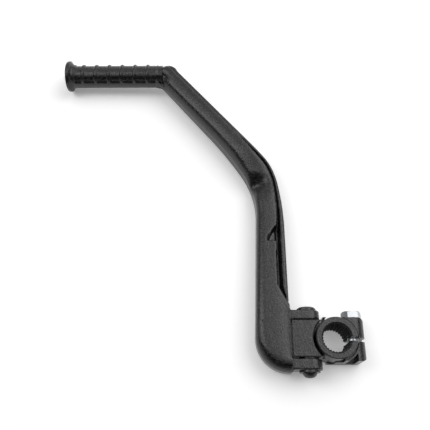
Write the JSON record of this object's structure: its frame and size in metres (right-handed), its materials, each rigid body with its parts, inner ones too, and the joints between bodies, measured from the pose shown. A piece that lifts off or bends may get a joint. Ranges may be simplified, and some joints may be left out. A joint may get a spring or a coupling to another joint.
{
  "type": "kick start lever",
  "caption": "Bent steel kick start lever with a ribbed foot peg, folding on a pinned fork from a split clamp hub with a splined bore.",
  "frame": {"origin": "on the splined bore's axis, at the hub's rear face", "axes": "+Z along the bore towards the front of the collar, +Y along the fold pivot towards the pin's head, the arm lying towards -X and +Y"},
  "size_m": [0.243, 0.2767, 0.0269],
  "materials": {
    "black_coat": "satin black coat on steel",
    "bright_zinc": "bright zinc plate",
    "plain_steel": "plain oiled steel"
  },
  "bodies": {
    "hub": {"clamp_hub": "black_coat", "pinch_bolt": "bright_zinc", "thrust_washer": "black_coat", "detent_ball": "plain_steel", "detent_spring": "plain_steel"},
    "arm": {"lever_arm": "black_coat", "pivot_pin": "black_coat", "pivot_washer": "black_coat", "pivot_screw": "black_coat"}
  },
  "joints": [
    {"name": "arm_fold", "type": "hinge", "parent": "hub", "child": "arm", "pos_m": [-0.0196, 0, 0.0155], "axis": [0, -1, 0], "range_deg": [0, 90]}
  ]
}
